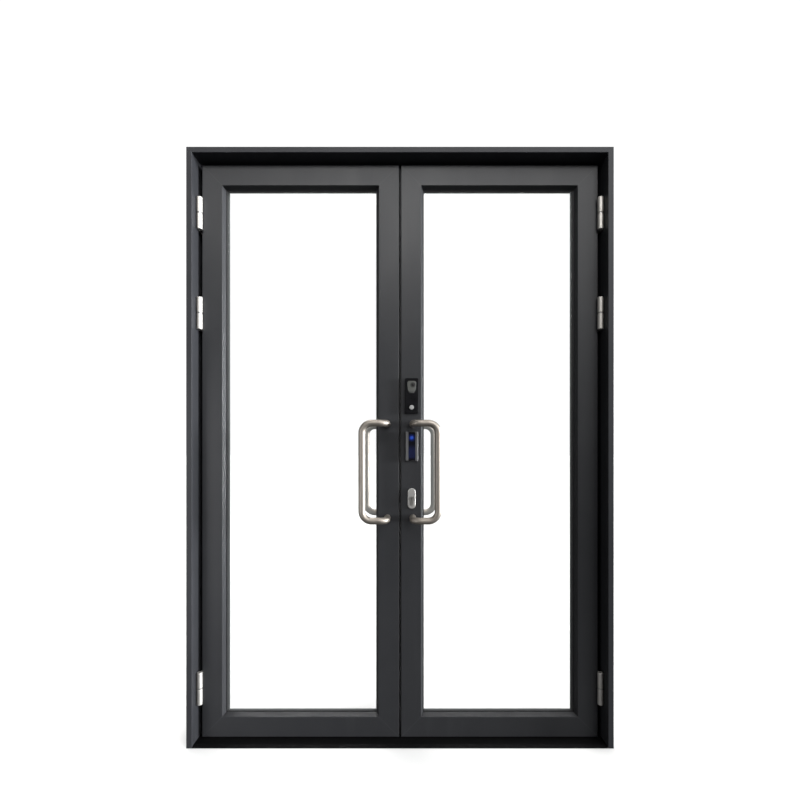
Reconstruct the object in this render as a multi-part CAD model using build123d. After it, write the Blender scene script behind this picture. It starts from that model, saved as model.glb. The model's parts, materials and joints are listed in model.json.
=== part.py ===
from build123d import *
import os

# Double-leaf glazed door with its frame. Millimetres, +Z up, origin at floor level in the middle of the
# closed leaves' mid-plane. The pull side with the hinge barrels faces -Y.

# ---------------------------------------------------------------- driving dimensions
FRAME_W = 1500.0        # overall width over the jambs
FRAME_H = 2110.0        # overall height
FRAME_FRONT = -80.0     # front face of the frame
FRAME_BACK = 45.0       # back face of the frame
FRAME_FACE = 20.0       # width of the frame's front face
FRAME_WALL = 2.5        # extrusion wall
STOP_REACH = 50.0       # stop's inner edge, from the outer face
STOP_FRONT = 33.0       # stop face behind the leaves
SILL_H = 5.0            # threshold height
SILL_NOSE = 1.6         # height of the threshold's front edge

LEAF_EDGE = 715.0       # hinge-side edge of a leaf, from the middle
LEAF_GAP = 4.0          # meeting edge of a leaf, from the middle
LEAF_BOTTOM = 9.0
LEAF_TOP = 2075.0
LEAF_T = 60.0           # leaf thickness
FACE = 72.0             # flat front face of stiles and rails
SIGHT = 80.0            # their width at the glass, behind the sloped reveal
RAIL_BEAD = 70.0        # sight line of the horizontal beads at the back
TUBE = 58.0             # width of the main tube behind the glazing flange
FLANGE_T = 20.0         # depth of the glazing flange
WALL = 2.5              # leaf extrusion wall
WEB_U = 22.0            # inner web, from the leaf's edge

PANE_T = 5.0
CAVITY = 9.0
GASKET_T = 3.0
GLASS_U = 64.0          # glass edge, from the leaf's edge
GASKET_LIP = 83.0       # gasket lip, from the leaf's edge

HINGE_X = 719.5         # hinge axis, from the middle
HINGE_Y = -41.0
KNUCKLE_R = 10.0
KNUCKLE_L = 56.95
COLLAR_T = 2.6
PIN_R = 5.0
HINGE_Z = (190.0, 1537.0, 1896.0)
FLAG_T = 4.0
FLAG_BACK = 4.0         # how far back the hinge flags reach

PULL_R = 12.0
PULL_BORE = 10.0
PULL_FOOT_X = 46.0
PULL_GRIP_X = 131.5
PULL_OUT = 77.0         # leaf face to the grip's centreline
PULL_LOW = 801.5
PULL_HIGH = 1139.0
PULL_FOOT_BEND = 26.0
PULL_GRIP_BEND = 34.0

LOCK_X = 42.0           # middle of the lock set on the right meeting stile
CYL_Z = 870.0           # key plug axis
BOLT_LOW, BOLT_HIGH = 928.0, 952.0
BOLT_HALF = 6.0
FLUSH_X = -15.0         # flush-bolt rods in the left meeting stile
FLUSH_R = 5.0

YF = -LEAF_T / 2        # leaf front face
YB = LEAF_T / 2         # leaf back face

os.makedirs("parts", exist_ok=True)


# ---------------------------------------------------------------- helpers
def box(x0, x1, y0, y1, z0, z1):
    return Pos((x0 + x1) / 2, (y0 + y1) / 2, (z0 + z1) / 2) * Box(x1 - x0, y1 - y0, z1 - z0)


def solid(shape):
    """The one solid of a boolean result."""
    found = shape.solids()
    assert len(found) == 1, f"{len(found)} solids"
    return found[0]


def group(shapes):
    return Compound(children=[s for shape in shapes for s in shape.solids()])


def flip(shape):
    """The mirror image on the left side."""
    return mirror(shape, about=Plane.YZ)


def face(points, rounds=()):
    """A flat face through 2-D points, with (point, radius) corners rounded."""
    area = sum(a[0] * b[1] - b[0] * a[1] for a, b in zip(points, points[1:] + points[:1]))
    points = points if area > 0 else points[::-1]
    f = Face(Wire.make_polygon([Vector(*p) for p in points], close=True))
    for point, radius in rounds:
        corner = min(f.vertices(), key=lambda v: (v.X - point[0]) ** 2 + (v.Y - point[1]) ** 2)
        f = f.fillet_2d(radius, [corner])
    return f


def rect(u0, u1, v0, v1):
    return [(u0, v0), (u1, v0), (u1, v1), (u0, v1)]


def tube(outer, chambers):
    """Section of a hollow extrusion."""
    f = outer
    for c in chambers:
        f = f - face(rect(*c))
    return f


def prism_y(points, y0, y1):
    """XZ outline run along Y."""
    f = Face(Wire.make_polygon([Vector(x, y0, z) for x, z in points], close=True))
    return Solid.extrude(f, Vector(0, y1 - y0, 0))


def rounded_slab(x0, x1, z0, z1, y0, y1, r):
    """A plate in the XZ plane with round corners."""
    c = Plane((x0 + x1) / 2 * Vector(1, 0, 0) + (z0 + z1) / 2 * Vector(0, 0, 1) + Vector(0, y1, 0), x_dir=(1, 0, 0), z_dir=(0, -1, 0))
    return extrude(c * RectangleRounded(x1 - x0, z1 - z0, r), amount=y1 - y0)


def rod_x(x0, x1, y, z, r):
    return Solid.make_cylinder(r, x1 - x0, Plane((x0, y, z), z_dir=(1, 0, 0)))


def rod_y(x, y0, y1, z, r):
    return Solid.make_cylinder(r, y1 - y0, Plane((x, y0, z), z_dir=(0, 1, 0)))


def rod_z(x, y, z0, z1, r):
    return Solid.make_cylinder(r, z1 - z0, Plane((x, y, z0)))


def run_up(section, x, z0, z1, inward):
    """Extrusion along Z whose section's first axis points inward (+1 is +X)."""
    f = section if inward > 0 else mirror(section, about=Plane.YZ)
    return extrude(Pos(x, 0, z0) * f, amount=z1 - z0, dir=(0, 0, 1))


def run_across(section, z, x0, x1, upward):
    """Extrusion along X whose section's first axis points up (+1) or down (-1)."""
    if upward > 0:
        p = Plane((x1, 0, z), x_dir=(0, 0, 1), z_dir=(-1, 0, 0))
    else:
        p = Plane((x0, 0, z), x_dir=(0, 0, -1), z_dir=(1, 0, 0))
    return extrude(p * section, amount=x1 - x0, dir=p.z_dir)


def part(name, shape):
    export_step(shape, f"parts/{name}.step")


# ---------------------------------------------------------------- frame
half = FRAME_W / 2
reveal = half - FRAME_FACE
soffit = FRAME_H - FRAME_FACE
stop_x = half - STOP_REACH

frame_outer = face(
    [(0, FRAME_FRONT), (FRAME_FACE, FRAME_FRONT), (FRAME_FACE, STOP_FRONT), (STOP_REACH, STOP_FRONT), (STOP_REACH, FRAME_BACK), (0, FRAME_BACK)],
    [((0, FRAME_FRONT), 1.5), ((FRAME_FACE, FRAME_FRONT), 2.0), ((STOP_REACH, STOP_FRONT), 1.0), ((STOP_REACH, FRAME_BACK), 1.5), ((0, FRAME_BACK), 1.0)],
)
frame_section = tube(
    frame_outer,
    [
        (FRAME_WALL, FRAME_FACE - FRAME_WALL, FRAME_FRONT + FRAME_WALL, FRAME_BACK - FRAME_WALL),
        (FRAME_FACE, STOP_REACH - FRAME_WALL, STOP_FRONT + FRAME_WALL, FRAME_BACK - FRAME_WALL),
    ],
) - face(rect(40.0, 46.0, STOP_FRONT, STOP_FRONT + 1.5))

ANCHOR_Y, ANCHOR_R = 18.0, 5.0
ANCHOR_Z = (180.0, 740.0, 1300.0, 1860.0)
FLAG_SCREWS = ((-22.0, 14.0), (-22.0, 44.0), (-6.0, 29.0))   # y, and distance from the hinge's middle

r_jamb = run_up(frame_section, half, 0, FRAME_H, -1)
r_jamb = r_jamb & prism_y([(stop_x, 0), (half, 0), (half, FRAME_H), (stop_x, FRAME_H - STOP_REACH)], FRAME_FRONT - 5, FRAME_BACK + 5)
r_jamb = r_jamb - box(stop_x - 1, reveal, FRAME_FRONT, FRAME_BACK + 1, -1, SILL_H)
for z in ANCHOR_Z:
    r_jamb = r_jamb - rod_x(reveal - 1, half + 1, ANCHOR_Y, z, ANCHOR_R)
for zc in HINGE_Z:
    for y, dz in FLAG_SCREWS:
        r_jamb = r_jamb - rod_x(reveal - 1, reveal + FRAME_WALL + 1, y, zc - dz, 2.5)
r_jamb = solid(r_jamb)
part("right_jamb", r_jamb)
part("left_jamb", solid(flip(r_jamb)))

head = run_across(frame_section, FRAME_H, -half, half, -1)
head = head & prism_y(
    [(-half, FRAME_H), (half, FRAME_H), (stop_x, FRAME_H - STOP_REACH), (-stop_x, FRAME_H - STOP_REACH)], FRAME_FRONT - 5, FRAME_BACK + 5
)
head = head - rod_z(FLUSH_X, 0, soffit - 1, soffit + FRAME_WALL + 1, FLUSH_R + 0.8)
for x in (-375.0, 375.0):
    head = head - rod_z(x, ANCHOR_Y, soffit - 1, FRAME_H + 1, ANCHOR_R)
part("head", solid(head))

# threshold: flat plate, bevelled nose, ribbed tread
nose = 12.0
sill_section = face(
    [(FRAME_FRONT, 0), (FRAME_BACK, 0), (FRAME_BACK, SILL_H), (FRAME_FRONT + nose, SILL_H), (FRAME_FRONT, SILL_NOSE)],
    [((FRAME_FRONT, SILL_NOSE), 0.8), ((FRAME_FRONT + nose, SILL_H), 3.0), ((FRAME_BACK, SILL_H), 1.0)],
)
for i in range(7):
    y = -60.0 + 4.0 * i
    sill_section = sill_section - face(rect(y, y + 1.6, SILL_H - 0.8, SILL_H + 1))
sill = extrude(Plane((-reveal, 0, 0), x_dir=(0, 1, 0), z_dir=(1, 0, 0)) * sill_section, amount=2 * reveal)
sill = sill - rod_z(FLUSH_X, 0, -1, SILL_H + 1, FLUSH_R + 0.8)
part("threshold", solid(sill))

# corner cleats in the frame's main chamber
c0, c1 = FRAME_WALL, FRAME_FACE - FRAME_WALL
r_cleat = box(half - c1, half - c0, -25, 10, FRAME_H - 110, FRAME_H - c0) + box(half - 110, half - c0, -25, 10, FRAME_H - c1, FRAME_H - c0)
part("frame_cleats", group([r_cleat, flip(r_cleat)]))

# weather seal on the stop
seal_section = face(
    [(40, STOP_FRONT + 1.5), (46, STOP_FRONT + 1.5), (46, YB + 0.4), (40, YB + 0.4)], [((46, YB + 0.4), 1.8), ((40, YB + 0.4), 1.8)]
)
seal_cut = [(half - 46, 0), (half - 40, 0), (half - 40, FRAME_H - 40), (half - 46, FRAME_H - 46)]
r_seal = run_up(seal_section, half, SILL_H, FRAME_H, -1) & prism_y(seal_cut, 20, 50)
top_seal = run_across(seal_section, FRAME_H, -half, half, -1) & prism_y(
    [(-(half - 40), FRAME_H - 40), (half - 40, FRAME_H - 40), (half - 46, FRAME_H - 46), (-(half - 46), FRAME_H - 46)], 20, 50
)
part("frame_seal", solid(top_seal + r_seal + flip(r_seal)))


# ---------------------------------------------------------------- hinges
def knuckle(x, z0, z1, round_top):
    k = rod_z(x, HINGE_Y, z0, z1, KNUCKLE_R)
    end = k.edges().filter_by(GeomType.CIRCLE).sort_by(Axis.Z)
    k = fillet([end[-1] if round_top else end[0]], 3.0)
    end = k.edges().filter_by(GeomType.CIRCLE).filter_by(lambda e: abs(e.radius - KNUCKLE_R) < 0.01).sort_by(Axis.Z)
    return fillet([end[0] if round_top else end[-1]], 2.2)


def csk_x(x_face, into, y, z):
    """Countersunk hole or head, from the face at x_face along into (+1 or -1)."""
    d = Vector(into, 0, 0)
    return Solid.make_cone(4.6, 2.5, 2.1, Plane((x_face, y, z), z_dir=d))


frame_halves, leaf_halves, pins, frame_screws, leaf_screws = [], [], [], [], []
for zc in HINGE_Z:
    low0, low1 = zc - COLLAR_T / 2 - KNUCKLE_L, zc - COLLAR_T / 2
    up0, up1 = zc + COLLAR_T / 2, zc + COLLAR_T / 2 + KNUCKLE_L
    # frame half: lower knuckle and its flag on the jamb's reveal
    h = knuckle(HINGE_X, low0, low1, False) + box(reveal - FLAG_T, reveal, HINGE_Y, FLAG_BACK, low0 + 1.6, low1)
    h = h - rod_z(HINGE_X, HINGE_Y, low0 + 6, low1 + 1, PIN_R + 0.01)
    for y, dz in FLAG_SCREWS:
        z = zc - dz
        h = h - rod_x(reveal - FLAG_T - 1, reveal + 1, y, z, 2.55) - csk_x(reveal - FLAG_T, 1, y, z)
        frame_screws.append(csk_x(reveal - FLAG_T, 1, y, z) + rod_x(reveal - FLAG_T + 1.9, reveal + 9, y, z, 2.4))
    frame_halves.append(solid(h))
    # leaf half: upper knuckle with a blind bore, flag on the leaf's edge
    h = knuckle(HINGE_X, up0 + 0.1, up1, True) + box(LEAF_EDGE, LEAF_EDGE + FLAG_T, HINGE_Y, FLAG_BACK, up0 + 0.1, up1 - 1.6)
    h = h - rod_z(HINGE_X, HINGE_Y, up0 - 1, up1 - 5, PIN_R + 0.05)
    for y, dz in FLAG_SCREWS:
        z = zc + dz
        h = h - rod_x(LEAF_EDGE - 1, LEAF_EDGE + FLAG_T + 1, y, z, 2.55) - csk_x(LEAF_EDGE + FLAG_T, -1, y, z)
        leaf_screws.append(csk_x(LEAF_EDGE + FLAG_T, -1, y, z) + rod_x(LEAF_EDGE - 9, LEAF_EDGE + FLAG_T - 1.9, y, z, 2.4))
    leaf_halves.append(solid(h))
    pins.append(solid(rod_z(HINGE_X, HINGE_Y, low0 + 7, up1 - 6, PIN_R) + rod_z(HINGE_X, HINGE_Y, low1, up0, KNUCKLE_R - 2.5)))

part("hinge_frame_halves", group(frame_halves + [flip(s) for s in frame_halves]))
part("hinge_pins", group(pins + [flip(s) for s in pins]))
part("hinge_frame_screws", group(frame_screws + [flip(s) for s in frame_screws]))
part("right_hinge_halves", group(leaf_halves))
part("left_hinge_halves", group([flip(s) for s in leaf_halves]))
part("right_hinge_screws", group(leaf_screws))
part("left_hinge_screws", group([flip(s) for s in leaf_screws]))

# ---------------------------------------------------------------- leaves
leaf_outer = face(
    [(0, YF), (FACE, YF), (SIGHT, YF + FLANGE_T), (TUBE, YF + FLANGE_T), (TUBE, YB), (0, YB)],
    [((0, YF), 1.5), ((FACE, YF), 1.2), ((SIGHT, YF + FLANGE_T), 0.8), ((0, YB), 1.5)],
)
leaf_section = tube(
    leaf_outer,
    [
        (WALL, WEB_U, YF + WALL, YB - WALL),
        (WEB_U + WALL, TUBE - WALL, YF + WALL, YB - WALL),
        (TUBE, FACE - WALL, YF + WALL, YF + FLANGE_T - WALL),
    ],
)
x0, x1, z0, z1 = LEAF_GAP, LEAF_EDGE, LEAF_BOTTOM, LEAF_TOP
S = SIGHT
WIDE = (YF - 5, YB + 5)

hinge_stile = run_up(leaf_section, x1, z0, z1, -1) & prism_y([(x1, z0), (x1, z1), (x1 - S, z1 - S), (x1 - S, z0 + S)], *WIDE)
for zc in HINGE_Z:
    for y, dz in FLAG_SCREWS:
        hinge_stile = hinge_stile - rod_x(x1 - WALL - 1, x1 + 1, y, zc + dz, 2.5)
hinge_stile = solid(hinge_stile)

stile = run_up(leaf_section, x0, z0, z1, 1) & prism_y([(x0, z0), (x0 + S, z0 + S), (x0 + S, z1 - S), (x0, z1)], *WIDE)
for z in (PULL_LOW, PULL_HIGH):
    stile = stile - rod_y(PULL_FOOT_X, YF - 1, YB + 1, z, 4.5)

top_rail = run_across(leaf_section, z1, x0, x1, -1) & prism_y([(x0, z1), (x1, z1), (x1 - S, z1 - S), (x0 + S, z1 - S)], *WIDE)
bottom_rail = run_across(leaf_section, z0, x0, x1, 1) & prism_y([(x0, z0), (x1, z0), (x1 - S, z0 + S), (x0 + S, z0 + S)], *WIDE)
SEAL_Y0, SEAL_Y1 = -23.0, -15.0
SEAL_END = 2.0          # meeting seals stop this far from the leaf's ends
bottom_rail = bottom_rail - box(x0 + 4, x1 - 4, SEAL_Y0, SEAL_Y1, z0 - 1, z0 + 1.5)

part("right_hinge_stile", hinge_stile)
part("left_hinge_stile", solid(flip(hinge_stile)))
part("right_top_rail", solid(top_rail))
part("right_bottom_rail", solid(bottom_rail))
rod_hole_top = rod_z(FLUSH_X, 0, z1 - WALL - 1, z1 + 1, FLUSH_R + 0.5)
rod_hole_low = rod_z(FLUSH_X, 0, z0 - 1, z0 + WALL + 1, FLUSH_R + 0.5)
part("left_top_rail", solid(flip(top_rail) - rod_hole_top))
part("left_bottom_rail", solid(flip(bottom_rail) - rod_hole_low))

# plates let into the meeting edges
FOREND = (799.0, 1021.0, 11.0)          # z from, z to, half width
STRIKE = (890.0, 990.0, 11.0)
FLUSH_PLATES = ((1862.0, 2012.0, 9.0), (88.0, 238.0, 9.0))
CASE_Z = (822.0, 1000.0)
CASE_X1 = x0 + TUBE - WALL - 1.5        # back of the lock case
EURO_R, EURO_HALF, EURO_DROP = 8.5, 5.0, 24.5


def euro(y0, y1, grow):
    """The cylinder's profile, run along Y and grown all round."""
    r, h = EURO_R + grow, EURO_HALF + grow
    low = CYL_Z - EURO_DROP + EURO_HALF
    return rod_y(LOCK_X, y0, y1, CYL_Z, r) + box(LOCK_X - h, LOCK_X + h, y0, y1, low, CYL_Z) + rod_y(LOCK_X, y0, y1, low, h)


r_stile = stile - box(x0 - 1, x0 + WALL, -FOREND[2] - 0.1, FOREND[2] + 0.1, FOREND[0] - 0.1, FOREND[1] + 0.1)
r_stile = r_stile - box(x0 + WALL - 1, x0 + WEB_U + WALL + 1, -8.2, 8.2, CASE_Z[0] - 0.5, CASE_Z[1] + 0.5)
r_stile = r_stile - euro(YF - 1, YF + WALL + 1, 0.5) - euro(YB - WALL - 1, YB + 1, 0.5)
seal_groove = box(x0 - 1, x0 + 1.5, SEAL_Y0, SEAL_Y1, z0 + SEAL_END, z1 - SEAL_END)
part("right_meeting_stile", solid(r_stile - seal_groove))

l_stile = flip(stile - seal_groove) - box(-x0 - WALL, -x0 + 1, -STRIKE[2] - 0.1, STRIKE[2] + 0.1, STRIKE[0] - 0.1, STRIKE[1] + 0.1)
for a, b, w in FLUSH_PLATES:
    l_stile = l_stile - box(-x0 - WALL, -x0 + 1, -w - 0.1, w + 0.1, a - 0.1, b + 0.1)
part("left_meeting_stile", solid(l_stile))

# corner cleats in the leaf's inner chamber
k0, k1, leg, kd = WEB_U + WALL, TUBE - WALL, 115.0, 9.0
cleats = []
for xa, sx in ((x0, 1), (x1, -1)):
    for za, sz in ((z0, 1), (z1, -1)):
        xs, zs = sorted((xa + sx * k0, xa + sx * k1)), sorted((za + sz * k0, za + sz * k1))
        xl, zl = sorted((xa + sx * k0, xa + sx * leg)), sorted((za + sz * k0, za + sz * leg))
        cleats.append(solid(box(*xs, -kd, kd, *zl) + box(*xl, -kd, kd, *zs)))
part("right_leaf_cleats", group(cleats))
part("left_leaf_cleats", group([flip(c) for c in cleats]))

# glass unit, gaskets and beads
gy0 = YF + FLANGE_T + GASKET_T
gy1, gy2 = gy0 + PANE_T, gy0 + PANE_T + CAVITY
gy3 = gy2 + PANE_T


def ring(u0, u1, v1, y0, y1):
    """A flat frame from u0 in to u1 along the stiles and to v1 along the rails."""
    return box(x0 + u0, x1 - u0, y0, y1, z0 + u0, z1 - u0) - box(x0 + u1, x1 - u1, y0 - 1, y1 + 1, z0 + v1, z1 - v1)


def pane(y0, y1):
    p = box(x0 + GLASS_U, x1 - GLASS_U, y0, y1, z0 + GLASS_U, z1 - GLASS_U)
    return chamfer(p.edges().filter_by(Axis.Y), 1.5)


outer_pane, inner_pane = pane(gy0, gy1), pane(gy2, gy3)
spacer = ring(GLASS_U + 1, GLASS_U + 11.5, GLASS_U + 7, gy1, gy2)
gasket_front = ring(GLASS_U + 3, GASKET_LIP, GASKET_LIP, YF + FLANGE_T, gy0)
gasket_back = ring(GLASS_U + 3, SIGHT + 1.5, RAIL_BEAD + 1.5, gy3, gy3 + GASKET_T)
by0 = gy3 + GASKET_T


def bead_section(sight):
    outer = face([(TUBE, by0), (sight, by0), (sight, YB), (TUBE, YB)], [((sight, YB), 3.0), ((sight, by0), 0.8)])
    return outer - face(rect(TUBE + 1.8, sight - 1.8, by0 + 1.8, YB - 1.8))


beads = [
    run_across(bead_section(RAIL_BEAD), z0, x0 + TUBE, x1 - TUBE, 1),
    run_across(bead_section(RAIL_BEAD), z1, x0 + TUBE, x1 - TUBE, -1),
    run_up(bead_section(SIGHT), x0, z0 + RAIL_BEAD, z1 - RAIL_BEAD, 1),
    run_up(bead_section(SIGHT), x1, z0 + RAIL_BEAD, z1 - RAIL_BEAD, -1),
]
for side, turn in (("right", lambda s: s), ("left", flip)):
    part(f"{side}_outer_pane", solid(turn(outer_pane)))
    part(f"{side}_inner_pane", solid(turn(inner_pane)))
    part(f"{side}_glass_spacer", solid(turn(spacer)))
    part(f"{side}_glazing_gaskets", group([turn(gasket_front), turn(gasket_back)]))
    part(f"{side}_glazing_beads", group([turn(b) for b in beads]))

# brush seals
bottom_seal = box(x0 + 4, x1 - 4, SEAL_Y0, SEAL_Y1, z0, z0 + 1.5) + box(x0 + 6, x1 - 6, SEAL_Y0 + 2, SEAL_Y1 - 2, SILL_H + 0.5, z0)
part("right_bottom_seal", solid(bottom_seal))
part("left_bottom_seal", solid(flip(bottom_seal)))
meeting_seal = box(x0, x0 + 1.5, SEAL_Y0, SEAL_Y1, z0 + SEAL_END, z1 - SEAL_END)
meeting_seal = meeting_seal + box(0.4, x0, SEAL_Y0 + 2, SEAL_Y1 - 2, z0 + SEAL_END, z1 - SEAL_END)
part("right_meeting_seal", solid(meeting_seal))
part("left_meeting_seal", solid(flip(meeting_seal)))


# ---------------------------------------------------------------- pulls
def bent(points, radii):
    """A wire through points with each inner corner rounded."""
    pts = [Vector(*p) for p in points]
    edges, last = [], pts[0]
    for i, r in enumerate(radii, start=1):
        a, b = (pts[i - 1] - pts[i]).normalized(), (pts[i + 1] - pts[i]).normalized()
        t0, t1 = pts[i] + a * r, pts[i] + b * r
        mid = pts[i] + (a + b) * r - (a + b).normalized() * r
        edges += [Edge.make_line(last, t0), Edge.make_three_point_arc(t0, mid, t1)]
        last = t1
    edges.append(Edge.make_line(last, pts[-1]))
    return Wire(edges)


gy = YF - PULL_OUT
path = bent(
    [
        (PULL_FOOT_X, YF, PULL_LOW), (PULL_FOOT_X, gy, PULL_LOW), (PULL_GRIP_X, gy, PULL_LOW),
        (PULL_GRIP_X, gy, PULL_HIGH), (PULL_FOOT_X, gy, PULL_HIGH), (PULL_FOOT_X, YF, PULL_HIGH),
    ],
    [PULL_FOOT_BEND, PULL_GRIP_BEND, PULL_GRIP_BEND, PULL_FOOT_BEND],
)
ring_face = Plane((PULL_FOOT_X, YF, PULL_LOW), x_dir=(1, 0, 0), z_dir=(0, -1, 0)) * (Circle(PULL_R) - Circle(PULL_BORE))
pull = sweep(ring_face, path=path)
for z in (PULL_LOW, PULL_HIGH):
    plug = rod_y(PULL_FOOT_X, YF - 22, YF, z, PULL_BORE) - rod_y(PULL_FOOT_X, YF - 20, YF + 1, z, 4.05)
    pull = pull + plug
pull = solid(pull)
back_pull = solid(mirror(pull, about=Plane.XZ))
studs = [rod_y(PULL_FOOT_X, YF - 18, YB + 18, z, 4.0) for z in (PULL_LOW, PULL_HIGH)]
for side, turn in (("right", lambda s: s), ("left", flip)):
    part(f"{side}_front_pull", solid(turn(pull)))
    part(f"{side}_back_pull", solid(turn(back_pull)))
    part(f"{side}_pull_studs", group([turn(s) for s in studs]))

# ---------------------------------------------------------------- left leaf: strike and flush bolts
strike = box(-x0 - WALL, -x0, -STRIKE[2], STRIKE[2], STRIKE[0], STRIKE[1])
strike = strike - box(-x0 - WALL - 1, -x0 + 1, -BOLT_HALF - 1, BOLT_HALF + 1, BOLT_LOW - 1.5, BOLT_HIGH + 1.5)
part("lock_strike", solid(strike))

FLUSH_THROW_TOP, FLUSH_THROW_LOW = 28.0, 8.0
KNOB = 4.0
top_knob = (1915.0, 1935.0)
low_knob = (165.0, 185.0)
(ta, tb, tw), (la, lb, lw) = FLUSH_PLATES
plate_top = box(-x0 - WALL, -x0, -tw, tw, ta, tb) - box(
    -x0 - WALL - 1, -x0 + 1, -KNOB - 0.4, KNOB + 0.4, top_knob[0] - 0.5, top_knob[1] + FLUSH_THROW_TOP + 0.5
)
plate_low = box(-x0 - WALL, -x0, -lw, lw, la, lb) - box(
    -x0 - WALL - 1, -x0 + 1, -KNOB - 0.4, KNOB + 0.4, low_knob[0] - FLUSH_THROW_LOW - 0.5, low_knob[1] + 0.5
)
part("flush_bolt_plates", group([plate_top, plate_low]))


def flush_bolt(z_from, z_to, knob):
    rod = rod_z(FLUSH_X, 0, z_from, z_to, FLUSH_R)
    grip = box(FLUSH_X, -x0 - 0.6, -KNOB, KNOB, *knob)
    for i in range(5):
        z = knob[0] + 2.4 + 3.4 * i
        grip = grip - box(-x0 - 1.6, -x0, -KNOB - 1, KNOB + 1, z, z + 1.6)
    return solid(rod + grip)


part("top_flush_bolt", flush_bolt(1890.0, z1 - 0.6, top_knob))
part("bottom_flush_bolt", flush_bolt(z0 + 0.6, 210.0, low_knob))

# ---------------------------------------------------------------- right leaf: lock
forend = box(x0, x0 + WALL, -FOREND[2], FOREND[2], FOREND[0], FOREND[1])
forend = forend - box(x0 - 1, x0 + WALL + 1, -BOLT_HALF - 0.3, BOLT_HALF + 0.3, BOLT_LOW - 0.3, BOLT_HIGH + 0.3)
part("lock_forend", solid(forend))

cx0, cx1 = x0 + WALL, CASE_X1
case = box(cx0, cx1, -8, 8, *CASE_Z) - box(cx0 + 1.5, cx1 - 1.5, -6.5, 6.5, CASE_Z[0] + 1.5, CASE_Z[1] - 1.5)
case = case - box(cx0 - 1, cx0 + 2, -BOLT_HALF - 0.3, BOLT_HALF + 0.3, BOLT_LOW - 0.3, BOLT_HIGH + 0.3)
case = case - euro(-9, 9, 0.4)
part("lock_case", solid(case))

bolt = box(x0 + 0.4, cx1 - 9, -BOLT_HALF, BOLT_HALF, BOLT_LOW, BOLT_HIGH)
bolt = chamfer(bolt.faces().sort_by(Axis.X)[0].edges(), 1.0)
part("deadbolt", solid(bolt))

# key cylinder
ESC_W, ESC_LOW, ESC_HIGH, ESC_T = 28.0, 834.0, 908.0, 7.0
CYL_OUT = 10.0          # how far the cylinder stands out from the leaf
PLUG_R, CAM_R, CAM_HALF = 6.5, 13.0, 4.6


def escutcheon():
    e = rounded_slab(LOCK_X - ESC_W / 2, LOCK_X + ESC_W / 2, ESC_LOW, ESC_HIGH, YF - ESC_T, YF, ESC_W / 2 - 0.01)
    front = e.faces().sort_by(Axis.Y)[0]
    e = fillet(front.edges(), 2.5)
    return solid(e - euro(YF - ESC_T - 1, YF + 1, 0.3))


front_escutcheon = escutcheon()
part("cylinder_escutcheons", group([front_escutcheon, mirror(front_escutcheon, about=Plane.XZ)]))
cyl = euro(YF - CYL_OUT, YB + CYL_OUT, 0)
cyl = cyl - rod_y(LOCK_X, YF - CYL_OUT - 1, YB + CYL_OUT + 1, CYL_Z, PLUG_R + 0.05)
cyl = cyl - box(LOCK_X - 10, LOCK_X + 10, -CAM_HALF - 0.4, CAM_HALF + 0.4, CYL_Z - CAM_R - 0.6, CYL_Z + 10)
part("cylinder_body", solid(cyl))

plug = rod_y(LOCK_X, YF - CYL_OUT, YB + CYL_OUT + 1.5, CYL_Z, PLUG_R)
plug = plug + box(LOCK_X - 4.5, LOCK_X + 4.5, -CAM_HALF, CAM_HALF, CYL_Z, CYL_Z + CAM_R - 1.0)
plug = plug - box(LOCK_X - 1.2, LOCK_X + 1.2, YF - CYL_OUT - 1, YF + 18, CYL_Z - 4.6, CYL_Z + 4.6)
part("key_plug", solid(plug))

turn_base = rod_y(LOCK_X, YB + CYL_OUT + 1.5, YB + CYL_OUT + 6, CYL_Z, 9.0)
paddle = rounded_slab(LOCK_X - 3.5, LOCK_X + 3.5, CYL_Z - 14, CYL_Z + 14, YB + CYL_OUT + 6, YB + CYL_OUT + 24, 3.3)
part("thumbturn", solid(turn_base + paddle))

# access reader: plate, sensor window, push button
RD_X0, RD_X1, RD_Z0, RD_Z1, RD_T = 18.5, 66.0, 1178.0, 1304.5, 11.0
BTN_X, BTN_Z, BTN_R, BTN_TRAVEL = 41.5, 1199.0, 8.0, 2.0
rd_front = YF - RD_T
reader = rounded_slab(RD_X0, RD_X1, RD_Z0, RD_Z1, rd_front, YF, 4.0)
reader = fillet(reader.faces().sort_by(Axis.Y)[0].edges(), 1.5)
window_pts = [(25.5, 1294.0), (59.0, 1294.0), (56.5, 1264.0), (50.5, 1250.5), (34.0, 1250.5), (28.0, 1264.0)]


def window(grow, y0, y1):
    mx = sum(p[0] for p in window_pts) / 6
    mz = sum(p[1] for p in window_pts) / 6
    pts = [(mx + (x - mx) * (1 + grow / 16), mz + (z - mz) * (1 + grow / 22)) for x, z in window_pts]
    w = prism_y(pts, y0, y1)
    edges = [e for e in w.edges().filter_by(Axis.Y) if e.center().Z > 1280]
    return fillet(edges, 8.0)


reader = reader - window(0.15, rd_front - 1, rd_front + 3)
reader = reader - rod_y(BTN_X, rd_front - 1, rd_front + 8, BTN_Z, BTN_R + 0.4)
part("reader_plate", solid(reader))
sensor = window(0, rd_front - 0.8, rd_front + 3)
sensor = fillet(sensor.faces().sort_by(Axis.Y)[0].edges(), 0.6)
sensor = sensor - rod_y(46.0, rd_front - 2, rd_front + 1.6, 1280.0, 4.2)
part("reader_window", solid(sensor))
button = rod_y(BTN_X, rd_front - 3, rd_front + 5.5, BTN_Z, BTN_R)
button = fillet(button.edges().filter_by(GeomType.CIRCLE).sort_by(Axis.Y)[:1], 1.5)
part("reader_button", solid(button))

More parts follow.
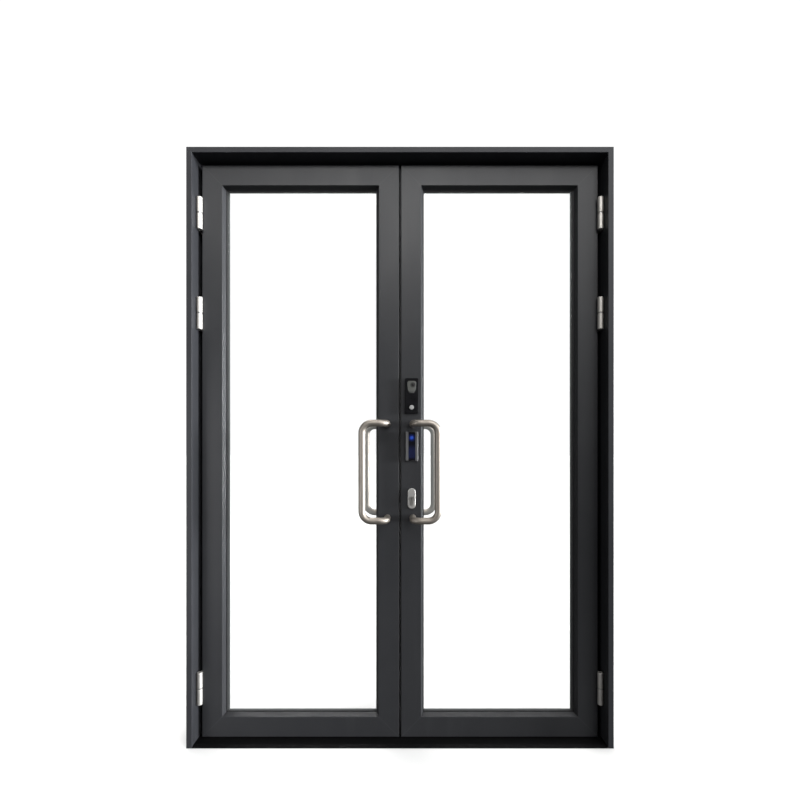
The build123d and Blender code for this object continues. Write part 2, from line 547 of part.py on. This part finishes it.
# electronic lock unit: channel-shaped body with two rails, dark glass between them, light
EL_X0, EL_X1, EL_Z0, EL_Z1 = 20.5, 65.0, 1007.0, 1111.5
EL_RAIL, EL_T, EL_BASE = 9.8, 13.0, 4.0
LED_X, LED_Z, LED_R = 42.2, 1090.0, 6.5
body = rounded_slab(EL_X0, EL_X1, EL_Z0, EL_Z1, YF - EL_T, YF, 2.5)
body = fillet(body.faces().sort_by(Axis.Y)[0].edges(), 1.8)
body = body - box(EL_X0 + EL_RAIL, EL_X1 - EL_RAIL, YF - EL_T - 1, YF - EL_BASE, EL_Z0 - 1, EL_Z1 + 1)
part("elock_body", solid(body))
glass = box(EL_X0 + EL_RAIL, EL_X1 - EL_RAIL, YF - EL_T + 4.0, YF - EL_BASE, EL_Z0 + 0.8, EL_Z1 - 0.8)
glass = chamfer(glass.faces().sort_by(Axis.Y)[0].edges().filter_by(Axis.X), 1.0)
glass = glass - rod_y(LED_X, YF - EL_T, YF - EL_BASE - 2, LED_Z, LED_R + 0.05)
part("elock_glass", solid(glass))
led = rod_y(LED_X, YF - EL_T + 2.6, YF - EL_BASE - 2, LED_Z, LED_R)
led = fillet(led.edges().filter_by(GeomType.CIRCLE).sort_by(Axis.Y)[:1], 1.3)
part("elock_light", solid(led))
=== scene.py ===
import bpy, bmesh, json, math, random
from mathutils import Vector, Matrix


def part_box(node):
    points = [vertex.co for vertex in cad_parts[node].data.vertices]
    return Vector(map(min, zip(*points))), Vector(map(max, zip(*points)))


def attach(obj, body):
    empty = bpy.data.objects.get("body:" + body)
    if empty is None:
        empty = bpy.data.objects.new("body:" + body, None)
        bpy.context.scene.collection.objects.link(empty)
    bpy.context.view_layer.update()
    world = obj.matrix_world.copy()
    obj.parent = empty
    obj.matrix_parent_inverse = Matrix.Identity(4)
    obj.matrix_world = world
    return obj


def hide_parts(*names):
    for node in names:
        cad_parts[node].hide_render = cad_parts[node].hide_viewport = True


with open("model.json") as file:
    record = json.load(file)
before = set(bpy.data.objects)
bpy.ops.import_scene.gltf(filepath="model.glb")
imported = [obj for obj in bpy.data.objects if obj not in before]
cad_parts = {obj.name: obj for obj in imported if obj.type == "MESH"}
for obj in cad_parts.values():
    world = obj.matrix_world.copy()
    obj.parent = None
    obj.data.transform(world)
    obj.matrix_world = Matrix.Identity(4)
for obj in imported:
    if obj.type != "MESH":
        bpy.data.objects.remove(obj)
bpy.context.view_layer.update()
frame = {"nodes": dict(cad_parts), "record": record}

scene = bpy.context.scene
scene.view_settings.view_transform = "Standard"
scene.view_settings.look = "None"
nodes = frame["nodes"]

# ------------------------------------------------------------------ material helpers


class Mat:
    """A Principled material with a few short ways to add procedural detail in object space (metres)."""

    def __init__(self, name, **sockets):
        self.m = bpy.data.materials.new(name)
        self.m.use_nodes = True
        t = self.m.node_tree
        t.nodes.clear()
        self.t = t
        self.out = t.nodes.new("ShaderNodeOutputMaterial")
        self.p = t.nodes.new("ShaderNodeBsdfPrincipled")
        t.links.new(self.p.outputs[0], self.out.inputs[0])
        self.co = t.nodes.new("ShaderNodeTexCoord").outputs["Object"]
        for k, v in sockets.items():
            self.set(k.replace("_", " "), v)

    def set(self, key, value):
        s = self.p.inputs[key]
        s.default_value = (*value, 1.0) if isinstance(value, tuple) and len(value) == 3 and s.type == "RGBA" else value

    def node(self, kind, **inputs):
        n = self.t.nodes.new("ShaderNode" + kind)
        for k, v in inputs.items():
            key = int(k[1:]) if k[0] == "i" and k[1:].isdigit() else k.replace("_", " ")
            if isinstance(v, bpy.types.NodeSocket):
                self.t.links.new(v, n.inputs[key])
            else:
                n.inputs[key].default_value = v
        return n

    def link(self, a, key):
        self.t.links.new(a, self.p.inputs[key])

    def scaled(self, x, y, z):
        n = self.node("Mapping", Vector=self.co)
        n.inputs["Scale"].default_value = (x, y, z)
        return n.outputs[0]

    def noise(self, scale, detail=3.0, rough=0.55, co=None, distort=0.0):
        n = self.node("TexNoise", Vector=co or self.co, Scale=scale, Detail=detail, Roughness=rough, Distortion=distort)
        return n.outputs["Fac"]

    def map(self, fac, a, b, lo=0.0, hi=1.0, smooth=False):
        n = self.node("MapRange", Value=fac)
        n.interpolation_type = "SMOOTHSTEP" if smooth else "LINEAR"
        for k, v in zip(("From Min", "From Max", "To Min", "To Max"), (a, b, lo, hi)):
            n.inputs[k].default_value = v
        return n.outputs[0]

    def math(self, op, a, b=0.0, clamp=False):
        n = self.t.nodes.new("ShaderNodeMath")
        n.operation = op
        n.use_clamp = clamp
        for i, v in enumerate((a, b)):
            if isinstance(v, bpy.types.NodeSocket):
                self.t.links.new(v, n.inputs[i])
            else:
                n.inputs[i].default_value = v
        return n.outputs[0]

    def mix(self, fac, a, b, kind="MIX"):
        n = self.t.nodes.new("ShaderNodeMix")
        n.data_type = "RGBA"
        n.blend_type = kind
        for s, v in ((n.inputs[0], fac), (n.inputs[6], a), (n.inputs[7], b)):
            if isinstance(v, bpy.types.NodeSocket):
                self.t.links.new(v, s)
            else:
                s.default_value = (*v, 1.0) if isinstance(v, tuple) else v
        return n.outputs[2]

    def axis(self, i):
        return self.node("SeparateXYZ", Vector=self.co).outputs[i]

    def bump(self, height, strength, distance):
        n = self.node("Bump", Height=height, Strength=strength, Distance=distance)
        self.link(n.outputs[0], "Normal")


# ------------------------------------------------------------------ materials
def mitre_lines(m, corners):
    """1 on the hairline of each 45 degree joint; corners are (|x|, way in, z, way in)."""
    x, z = m.math("ABSOLUTE", m.axis(0)), m.axis(2)
    total = None
    for x0, sx, z0, sz in corners:
        u = m.math("MULTIPLY", m.math("SUBTRACT", x, x0), sx)
        v = m.math("MULTIPLY", m.math("SUBTRACT", z, z0), sz)
        near = m.map(v, 0.082, 0.083, 1.0, 0.0)
        line = m.math("MULTIPLY", m.map(m.math("ABSOLUTE", m.math("SUBTRACT", u, v)), 0.0003, 0.0009, 1.0, 0.0), near)
        total = line if total is None else m.math("MAXIMUM", total, line)
    return total


def powder_coat(name, dark, light, rough=(0.40, 0.50), spec=0.5, corners=()):
    m = Mat(name, Specular_IOR_Level=spec)
    broad = m.noise(2.3, 4.0, 0.6)
    fine = m.noise(900.0, 2.0, 0.6)
    peel = m.noise(420.0, 2.0, 0.5)
    smear = m.noise(1.0, 3.0, 0.6, m.scaled(14.0, 14.0, 1.6), 0.6)
    c = m.mix(m.map(broad, 0.35, 0.65), dark, light)
    c = m.mix(m.map(fine, 0.35, 0.7, 0.0, 0.35), c, tuple(v * 1.5 for v in light))
    c = m.mix(m.map(smear, 0.56, 0.8, 0.0, 0.25), c, tuple(v * 1.6 for v in light))
    height = m.math("ADD", m.math("MULTIPLY", fine, 0.4), peel)
    if corners:
        line = mitre_lines(m, corners)
        c = m.mix(m.math("MULTIPLY", line, 0.45), c, tuple(v * 2.6 for v in light))
        height = m.math("SUBTRACT", height, m.math("MULTIPLY", line, 1.5))
    m.link(c, "Base Color")
    m.link(m.math("ADD", m.map(smear, 0.3, 0.75, rough[0], rough[1]), m.map(fine, 0.2, 0.8, -0.03, 0.05)), "Roughness")
    m.bump(height, 0.18, 0.00025)
    return m.m


leaf_corners = [(0.715, -1, 2.075, -1), (0.004, 1, 2.075, -1), (0.715, -1, 0.009, 1), (0.004, 1, 0.009, 1)]
coat = powder_coat("graphite_coat", (0.022, 0.0225, 0.0245), (0.028, 0.0285, 0.0305), (0.34, 0.44), 0.16, leaf_corners)
# Painted shade: the frame gets a slightly darker, less glossy copy of the leaf's powder coat.
shaded_frame_coat = powder_coat("shaded_frame_coat", (0.021, 0.0215, 0.024), (0.027, 0.0275, 0.0305), (0.40, 0.50), 0.12, [(0.75, -1, 2.11, -1)])
# Painted shade: the sill's coat is near-black, far darker than the leaf coat, standing in for the shade on the sill.
shaded_sill_coat = powder_coat("black_sill", (0.0018, 0.0018, 0.002), (0.003, 0.003, 0.0033), (0.55, 0.7), 0.08)


def brushed(name, base, rough=(0.22, 0.34), along=(520.0, 520.0, 14.0), tint=None, wear=0.80):
    m = Mat(name, Metallic=1.0)
    streak = m.noise(1.0, 4.0, 0.65, m.scaled(*along))
    grain = m.noise(1500.0, 2.0, 0.5)
    stain = m.noise(22.0, 4.0, 0.6)
    low = tuple(v * wear for v in base)
    c = m.mix(m.map(streak, 0.3, 0.7), low, base)
    c = m.mix(m.map(stain, 0.52, 0.75, 0.0, 0.4), c, tint or low)
    m.link(c, "Base Color")
    m.link(m.math("ADD", m.map(streak, 0.25, 0.75, rough[0], rough[1]), m.map(stain, 0.4, 0.7, 0.0, 0.07)), "Roughness")
    m.bump(m.math("ADD", streak, m.math("MULTIPLY", grain, 0.3)), 0.05, 0.0002)
    return m.m


steel = brushed("satin_steel", (0.335, 0.302, 0.266), (0.46, 0.54), tint=(0.275, 0.243, 0.206), wear=0.9)
# Painted light: a lighter, brighter copy of the satin steel, used on the escutcheons and thumbturn.
painted_light_steel = brushed("painted_light_steel", (0.56, 0.55, 0.53), (0.40, 0.50), (700.0, 700.0, 40.0), (0.44, 0.425, 0.40))
hinge_steel = brushed("hinge_steel", (0.66, 0.64, 0.605), (0.56, 0.66), (900.0, 900.0, 60.0), (0.62, 0.585, 0.54))
plain_steel = brushed("plain_steel", (0.48, 0.48, 0.49), (0.30, 0.45), (400.0, 400.0, 60.0))
nickel = brushed("nickel_cylinder", (0.60, 0.585, 0.55), (0.24, 0.36), (700.0, 90.0, 700.0))
alloy = brushed("elock_alloy", (0.165, 0.165, 0.168), (0.46, 0.56), (900.0, 900.0, 18.0))
mill = brushed("mill_aluminium", (0.68, 0.69, 0.70), (0.38, 0.5), (300.0, 300.0, 10.0))


def clear_glass():
    m = Mat("clear_glass", IOR=1.5, Alpha=0.035)
    film = m.noise(1.0, 3.0, 0.6, m.scaled(3.0, 3.0, 1.2), 0.8)
    m.link(m.mix(film, (0.84, 0.90, 0.88), (0.92, 0.95, 0.94)), "Base Color")
    m.link(m.map(film, 0.3, 0.75, 0.01, 0.05), "Roughness")
    m.bump(film, 0.02, 0.001)
    m.m.surface_render_method = "BLENDED"
    return m.m


glass = clear_glass()


def rubber(name, c0, c1, ribs=0.0):
    m = Mat(name, Specular_IOR_Level=0.35)
    n = m.noise(260.0, 4.0, 0.6)
    dust = m.noise(30.0, 3.0, 0.6)
    c = m.mix(m.map(n, 0.3, 0.7), c0, c1)
    m.link(m.mix(m.map(dust, 0.55, 0.8, 0.0, 0.3), c, (0.05, 0.05, 0.05)), "Base Color")
    m.link(m.map(n, 0.2, 0.8, 0.62, 0.8), "Roughness")
    m.bump(n, 0.2, 0.0003)
    return m.m


gasket = rubber("black_gasket", (0.010, 0.010, 0.011), (0.018, 0.018, 0.019))
pile = rubber("brush_pile", (0.020, 0.020, 0.021), (0.045, 0.045, 0.046))


def moulded(name, c0, c1, rough, grain=1100.0, spec=0.5, strength=0.12):
    m = Mat(name, Specular_IOR_Level=spec)
    n = m.noise(grain, 2.0, 0.5)
    b = m.noise(45.0, 3.0, 0.6)
    m.link(m.mix(m.map(b, 0.35, 0.65), c0, c1), "Base Color")
    m.link(m.math("ADD", m.map(b, 0.3, 0.7, rough - 0.05, rough + 0.05), m.map(n, 0.3, 0.7, -0.02, 0.02)), "Roughness")
    m.bump(n, strength, 0.0002)
    return m.m


reader_black = moulded("reader_black", (0.003, 0.003, 0.0036), (0.005, 0.005, 0.006), 0.5, spec=0.06)
button_white = moulded("button_white", (0.24, 0.24, 0.236), (0.29, 0.29, 0.285), 0.38, 600.0, 0.3, 0.05)


def sensor_grey():
    m = Mat("sensor_grey", Specular_IOR_Level=0.4, Coat_Weight=0.25, Coat_Roughness=0.1)
    x, z = m.axis(0), m.axis(2)
    n = m.noise(60.0, 3.0, 0.6)
    dx, dz = m.math("SUBTRACT", x, 0.046), m.math("SUBTRACT", z, 1.280)
    r = m.math("SQRT", m.math("ADD", m.math("MULTIPLY", dx, dx), m.math("MULTIPLY", dz, dz)))
    c = m.mix(m.map(z, 1.250, 1.262, smooth=True), (0.030, 0.030, 0.031), (0.074, 0.076, 0.070))
    c = m.mix(m.map(n, 0.35, 0.7, 0.0, 0.35), c, (0.10, 0.10, 0.095))
    m.link(m.mix(m.map(r, 0.0055, 0.0125, 0.85, 0.0, smooth=True), c, (0.016, 0.016, 0.015)), "Base Color")
    m.link(m.map(n, 0.3, 0.7, 0.16, 0.28), "Roughness")
    m.bump(m.noise(700.0, 2.0), 0.05, 0.0002)
    return m.m


def spacer_black():
    """Warm-edge spacer bar with its rows of fine drying holes."""
    m = Mat("spacer_black", Specular_IOR_Level=0.3)
    v = m.node("TexVoronoi", Vector=m.co, Scale=240.0, Randomness=0.15).outputs["Distance"]
    n = m.noise(400.0, 2.0)
    c = m.mix(m.map(n, 0.3, 0.7), (0.010, 0.010, 0.011), (0.017, 0.017, 0.018))
    m.link(m.mix(m.map(v, 0.14, 0.2, 1.0, 0.0), c, (0.002, 0.002, 0.002)), "Base Color")
    m.link(m.map(n, 0.3, 0.7, 0.5, 0.62), "Roughness")
    m.bump(v, 0.2, 0.0003)
    return m.m


def dark_glass():
    m = Mat("dark_glass", Specular_IOR_Level=0.5, Emission_Strength=1.0)
    x, z = m.axis(0), m.axis(2)
    n = m.noise(90.0, 3.0, 0.6)
    low = m.math("MULTIPLY", m.map(z, 1.012, 1.022, smooth=True), m.map(z, 1.050, 1.068, 1.0, 0.0, smooth=True))
    c = m.mix(low, (0.0022, 0.0022, 0.004), (0.006, 0.007, 0.022))
    m.link(m.mix(m.map(n, 0.4, 0.7, 0.0, 0.5), c, (0.004, 0.005, 0.014)), "Base Color")
    m.link(m.map(n, 0.3, 0.7, 0.05, 0.12), "Roughness")
    # Painted light: the emission paints a blue glow on the glass around the LED and a faint blue glow along the window
    # band, though the glass is no lamp.
    dx, dz = m.math("SUBTRACT", x, 0.0422), m.math("SUBTRACT", z, 1.090)
    r = m.math("SQRT", m.math("ADD", m.math("MULTIPLY", dx, dx), m.math("MULTIPLY", dz, dz)))
    painted_led_glow = m.map(r, 0.005, 0.0165, 1.0, 0.0, smooth=True)
    window = m.mix(m.math("MULTIPLY", low, m.map(n, 0.3, 0.75, 0.35, 1.0)), (0.0, 0.0, 0.0), (0.004, 0.007, 0.032))
    m.link(m.mix(painted_led_glow, window, (0.003, 0.012, 0.10)), "Emission Color")
    m.bump(n, 0.02, 0.0003)
    return m.m


def blue_light():
    m = Mat("blue_light", Specular_IOR_Level=0.6, Emission_Strength=1.0)
    x, _, z = (m.axis(i) for i in range(3))
    dx, dz = m.math("SUBTRACT", x, 0.0422), m.math("SUBTRACT", z, 1.090)
    r = m.math("SQRT", m.math("ADD", m.math("MULTIPLY", dx, dx), m.math("MULTIPLY", dz, dz)))
    core = m.map(r, 0.0, 0.0062, 1.0, 0.0, smooth=True)
    n = m.noise(300.0, 2.0)
    m.link(m.mix(n, (0.004, 0.012, 0.09), (0.008, 0.02, 0.13)), "Base Color")
    m.link(m.map(n, 0.3, 0.7, 0.1, 0.2), "Roughness")
    m.link(m.mix(core, (0.004, 0.022, 0.22), (0.012, 0.07, 0.40)), "Emission Color")
    m.bump(n, 0.03, 0.0002)
    return m.m


def floor_mat():
    m = Mat("pale_floor", Specular_IOR_Level=0.15)
    n = m.noise(0.8, 3.0, 0.5)
    g = m.noise(120.0, 2.0, 0.5)
    m.link(m.mix(m.map(n, 0.35, 0.65), (0.86, 0.86, 0.855), (0.89, 0.89, 0.885)), "Base Color")
    m.link(m.map(g, 0.3, 0.7, 0.75, 0.9), "Roughness")
    m.bump(g, 0.03, 0.0003)
    return m.m


looks = {
    "graphite_coat": coat, "mill_aluminium": mill, "black_sill": shaded_sill_coat, "clear_glass": glass, "black_gasket": gasket,
    "brush_pile": pile, "satin_steel": steel, "plain_steel": plain_steel, "nickel_cylinder": nickel, "reader_black": reader_black,
    "sensor_grey": sensor_grey(), "button_white": button_white, "elock_alloy": alloy, "dark_glass": dark_glass(), "blue_light": blue_light(),
}
looks["black_spacer"] = spacer_black()
slot_of = {s["node"]: s["material_slot"] for s in frame["record"]["subparts"]}
for name, o in nodes.items():
    m = looks[slot_of[name]]
    if name.endswith("hinge_halves") or name == "hinge_frame_halves":
        m = hinge_steel
    # The escutcheons and thumbturn take the lighter copy of the steel: painted light.
    if name in ("cylinder_escutcheons", "thumbturn"):
        m = painted_light_steel
    # The jambs and head take the darker copy of the coat: painted shade on the frame.
    if name in ("left_jamb", "right_jamb", "head"):
        m = shaded_frame_coat
    o.data.materials.clear()
    o.data.materials.append(m)


# ------------------------------------------------------------------ mesh helpers
def piece(name, bm, material, body):
    me = bpy.data.meshes.new(name)
    bm.normal_update()
    bm.to_mesh(me)
    bm.free()
    o = bpy.data.objects.new(name, me)
    scene.collection.objects.link(o)
    me.materials.append(material)
    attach(o, body)
    return o


# ------------------------------------------------------------------ brush seals: a carrier strip with rows of bristles
def slab(bm, lo, hi):
    v = [bm.verts.new((x, y, z)) for x in (lo[0], hi[0]) for y in (lo[1], hi[1]) for z in (lo[2], hi[2])]
    for f in ((0, 1, 3, 2), (4, 6, 7, 5), (0, 4, 5, 1), (2, 3, 7, 6), (0, 2, 6, 4), (1, 5, 7, 3)):
        bm.faces.new([v[i] for i in f])


def bristle(bm, root, tip, r0, r1):
    """A thin three-sided hair from root to tip."""
    root, tip = Vector(root), Vector(tip)
    d = (tip - root).normalized()
    u = d.orthogonal().normalized()
    w = d.cross(u)
    a, b = [], []
    for k in range(3):
        t = u * math.cos(k * 2.0944) + w * math.sin(k * 2.0944)
        a.append(bm.verts.new(root + t * r0))
        b.append(bm.verts.new(tip + t * r1))
    for k in range(3):
        bm.faces.new((a[k], a[(k + 1) % 3], b[(k + 1) % 3], b[k]))
    bm.faces.new(b)
    bm.faces.new(a[::-1])


def brush_piece(name, node, body, lo, hi, along, out, tip):
    """Carrier between lo and hi; bristles stand from its outer side along out to the coordinate tip."""
    rng = random.Random(len(name) * 31 + along)
    bm = bmesh.new()
    slab(bm, lo, hi)
    axis = [i for i in range(3) if abs(out[i]) > 0.5][0]
    side = 3 - axis - along
    root = hi[axis] if out[axis] > 0 else lo[axis]
    mid, n = (lo[side] + hi[side]) / 2, int((hi[along] - lo[along]) / 0.0011)
    for row, off in enumerate((-0.0014, -0.0005, 0.0005, 0.0014)):
        for i in range(n):
            p, q = [0, 0, 0], [0, 0, 0]
            p[along] = lo[along] + (i + 0.5 * (row % 2) + 0.3) * (hi[along] - lo[along]) / (n + 1)
            p[side], p[axis] = mid + off, root - out[axis] * 0.0003
            q[along] = min(max(p[along] + rng.uniform(-0.0006, 0.0006), lo[along]), hi[along])
            q[side] = p[side] + rng.uniform(-0.0003, 0.0003)
            q[axis] = tip - out[axis] * rng.uniform(0.0, 0.00025)
            bristle(bm, p, q, 0.00042, 0.00036)
    fin_lo, fin_hi = list(lo), list(hi)
    fin_lo[side], fin_hi[side] = mid - 0.0001, mid + 0.0001
    fin_lo[axis], fin_hi[axis] = sorted((root - out[axis] * 0.0002, tip))
    slab(bm, fin_lo, fin_hi)
    o = piece(name, bm, pile, body)
    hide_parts(node)
    return o


for side, sg in (("left", -1), ("right", 1)):
    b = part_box(f"{side}_meeting_seal")
    lo, hi = list(b[0]), list(b[1])
    if sg > 0:
        lo[0] = 0.0040
    else:
        hi[0] = -0.0040
    brush_piece(f"{side}_meeting_brush", f"{side}_meeting_seal", f"{side}_leaf", lo, hi, 2, (-sg, 0, 0), sg * 0.00002)
    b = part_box(f"{side}_bottom_seal")
    lo, hi = list(b[0]), list(b[1])
    tip, lo[2] = lo[2], 0.0090
    brush_piece(f"{side}_bottom_brush", f"{side}_bottom_seal", f"{side}_leaf", lo, hi, 0, (0, 0, -1), tip)


# ------------------------------------------------------------------ lens in the reader's sensor window: rim and domed eye
def lathe(bm, at, profile, steps=40):
    """Turns (radius, y) points about the Y axis through at."""
    rings = []
    for r, y in profile:
        if r < 1e-6:
            rings.append([bm.verts.new((at[0], at[1] + y, at[2]))])
        else:
            rings.append([bm.verts.new((at[0] + r * math.cos(k * math.tau / steps), at[1] + y, at[2] + r * math.sin(k * math.tau / steps))) for k in range(steps)])
    for a, b in zip(rings, rings[1:]):
        for k in range(steps):
            q = [a[k % len(a)], a[(k + 1) % len(a)], b[(k + 1) % len(b)], b[k % len(b)]]
            q = [v for i, v in enumerate(q) if v not in q[:i]]
            if len(q) > 2:
                bm.faces.new(q)


bm = bmesh.new()
eye = [(0.0, 0.0016), (0.0041, 0.0016), (0.0041, -0.0006), (0.0038, -0.0008), (0.0034, -0.0006), (0.0032, 0.0002)]
eye += [(0.0032 * math.cos(t * math.pi / 16), 0.0002 - 0.0009 * math.sin(t * math.pi / 16)) for t in range(1, 8)] + [(0.0, -0.0007)]
lathe(bm, (0.046, -0.041, 1.280), eye)
bmesh.ops.recalc_face_normals(bm, faces=bm.faces)
lens = piece("sensor_lens", bm, moulded("lens_black", (0.0015, 0.0015, 0.0018), (0.003, 0.003, 0.0035), 0.14, 500.0, 0.4, 0.03), "right_leaf")
for f in lens.data.polygons:
    f.use_smooth = True

# ------------------------------------------------------------------ stage, light, camera
bm = bmesh.new()
bmesh.ops.create_grid(bm, x_segments=1, y_segments=1, size=60.0)
me = bpy.data.meshes.new("floor")
bm.to_mesh(me)
bm.free()
floor = bpy.data.objects.new("floor", me)
floor.location = (0, 0, -0.0006)
scene.collection.objects.link(floor)
me.materials.append(floor_mat())
floor.visible_diffuse = floor.visible_glossy = False

world = bpy.data.worlds.new("studio")
scene.world = world
world.use_nodes = True
wt = world.node_tree
wt.nodes.clear()
wo = wt.nodes.new("ShaderNodeOutputWorld")
seen, lit, pick = wt.nodes.new("ShaderNodeBackground"), wt.nodes.new("ShaderNodeBackground"), wt.nodes.new("ShaderNodeMixShader")
path = wt.nodes.new("ShaderNodeLightPath")
seen.inputs[0].default_value, seen.inputs[1].default_value = (1.0, 1.0, 1.0, 1.0), 1.08
lit.inputs[0].default_value, lit.inputs[1].default_value = (0.95, 0.97, 1.0, 1.0), 0.13
wt.links.new(path.outputs["Is Camera Ray"], pick.inputs[0])
wt.links.new(lit.outputs[0], pick.inputs[1])
wt.links.new(seen.outputs[0], pick.inputs[2])
wt.links.new(pick.outputs[0], wo.inputs[0])


def aim(o, target):
    o.rotation_euler = (Vector(target) - o.location).to_track_quat("-Z", "Y").to_euler()


def area(name, at, target, size, power, colour=(1, 1, 1)):
    l = bpy.data.lights.new(name, "AREA")
    l.shape, l.size, l.size_y = "RECTANGLE", size[0], size[1]
    l.energy, l.color = power, colour
    o = bpy.data.objects.new(name, l)
    o.location = at
    scene.collection.objects.link(o)
    aim(o, target)
    return o


def far_light(name, towards, strength, spread, colour=(1, 1, 1)):
    """A soft light from a direction, the same all over."""
    l = bpy.data.lights.new(name, "SUN")
    l.energy, l.angle, l.color = strength, math.radians(spread), colour
    o = bpy.data.objects.new(name, l)
    scene.collection.objects.link(o)
    o.location = Vector(towards) * 6.0
    aim(o, (0, 0, 0))
    return o


far_light("overhead", (0.06, 0.16, 0.98), 1.9, 60.0, (1.0, 0.99, 0.975))
far_light("back_top", (-0.16, 0.26, 0.95), 1.0, 26.0, (1.0, 0.99, 0.98))
far_light("back_right", (0.93, 0.36, 0.03), 3.4, 20.0, (0.95, 0.98, 1.0))
far_light("front_key", (0.55, -0.65, 0.52), 2.45, 50.0, (0.99, 0.995, 1.0))
far_light("right_window", (0.985, -0.14, 0.03), 9.6, 13.0, (0.95, 0.975, 1.0))
top = area("top_box", (-0.05, -2.5, 3.15), (0.0, 0.0, 2.02), (5.2, 0.6), 14.0, (1.0, 0.99, 0.97))
top.data.spread = math.radians(46)
low = area("left_low", (-1.9, -1.5, 0.75), (-0.68, 0.0, 0.55), (0.8, 1.5), 4.2, (0.99, 0.99, 1.0))
low.data.spread = math.radians(50)

cam = bpy.data.cameras.new("camera")
cam.lens, cam.sensor_width, cam.sensor_fit = 20.54, 36.0, "HORIZONTAL"
cam.shift_y = 0.0594
cam.clip_start, cam.clip_end = 0.02, 200.0
co = bpy.data.objects.new("camera", cam)
co.location = (0.0, -1.68, 1.055)
co.rotation_euler = (math.radians(90), 0, 0)
scene.collection.objects.link(co)
scene.camera = co
